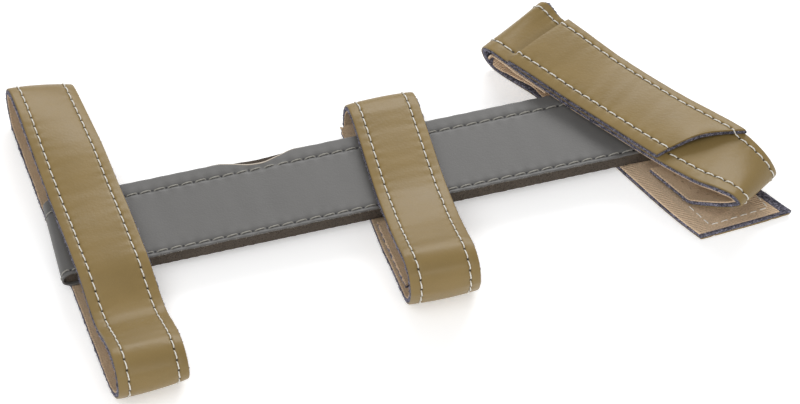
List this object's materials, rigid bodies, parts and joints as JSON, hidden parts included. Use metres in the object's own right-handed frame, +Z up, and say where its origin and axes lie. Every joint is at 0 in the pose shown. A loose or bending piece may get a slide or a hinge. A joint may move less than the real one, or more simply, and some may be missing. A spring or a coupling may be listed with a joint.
{
  "type": "hand grip",
  "caption": "Padded grip strip with two sewn strap loops that slide along it and one hook-and-loop closure strap that swivels and opens at its end.",
  "frame": {"origin": "middle of the whole part's box, on the surface it lies on", "axes": "+X along the grip strip from its folded end to its plain end, +Y across it, +Z up"},
  "size_m": [0.2652, 0.148, 0.0244],
  "materials": {
    "khaki_vinyl": "smooth coated, satin",
    "felt_core": "matt felt",
    "tan_lining": "brushed, matt",
    "pile_tape": "looped pile, matt",
    "hook_tape": "hooked tape, matt",
    "grey_vinyl": "smooth coated, satin",
    "foam": "open cell, matt",
    "cream_thread": "twisted thread",
    "grey_thread": "twisted thread"
  },
  "bodies": {
    "grip_strip": {"grip_cover": "grey_vinyl", "grip_foam_pad": "foam", "grip_stitch_far": "grey_thread", "grip_stitch_near": "grey_thread"},
    "left_loop": {"left_loop_face": "khaki_vinyl", "left_loop_core": "felt_core", "left_loop_lining": "tan_lining", "left_loop_stitch_left": "cream_thread", "left_loop_stitch_right": "cream_thread", "left_loop_join_stitch": "cream_thread"},
    "middle_loop": {"middle_loop_face": "khaki_vinyl", "middle_loop_core": "felt_core", "middle_loop_lining": "tan_lining", "middle_loop_stitch_left": "cream_thread", "middle_loop_stitch_right": "cream_thread", "middle_loop_lap_core": "felt_core", "middle_loop_lap_lining": "tan_lining", "middle_loop_join_stitch": "cream_thread"},
    "closure_base": {"closure_base_face": "khaki_vinyl", "closure_base_core": "felt_core", "closure_base_pile_tape": "pile_tape", "closure_end_stitch": "cream_thread", "closure_fold_face": "khaki_vinyl", "closure_fold_core": "felt_core", "closure_fold_lining": "tan_lining"},
    "closure_flap": {"flap_face": "khaki_vinyl", "flap_core": "felt_core", "flap_lining": "tan_lining", "overlay_core": "felt_core", "overlay_face": "khaki_vinyl", "flap_stitch_left": "cream_thread", "flap_stitch_right": "cream_thread", "tip_stitch_left": "cream_thread", "tip_stitch_right": "cream_thread", "hook_tape": "hook_tape"}
  },
  "joints": [
    {"name": "left_loop_slide", "type": "slide", "parent": "grip_strip", "child": "left_loop", "axis": [1, 0, 0], "range_m": [0, 0.05]},
    {"name": "middle_loop_slide", "type": "slide", "parent": "grip_strip", "child": "middle_loop", "axis": [1, 0, 0], "range_m": [-0.025, 0.015]},
    {"name": "closure_swivel", "type": "hinge", "parent": "grip_strip", "child": "closure_base", "pos_m": [0.08884, 0.00021, 0], "axis": [0, 0, 1], "range_deg": [-33, 7]},
    {"name": "flap_open", "type": "hinge", "parent": "closure_base", "child": "closure_flap", "pos_m": [0.05605, 0.0507, 0.0076], "axis": [-0.8387, -0.5446, 0], "range_deg": [0, 160], "deforming": ["closure_fold_face", "closure_fold_core", "closure_fold_lining"]}
  ]
}
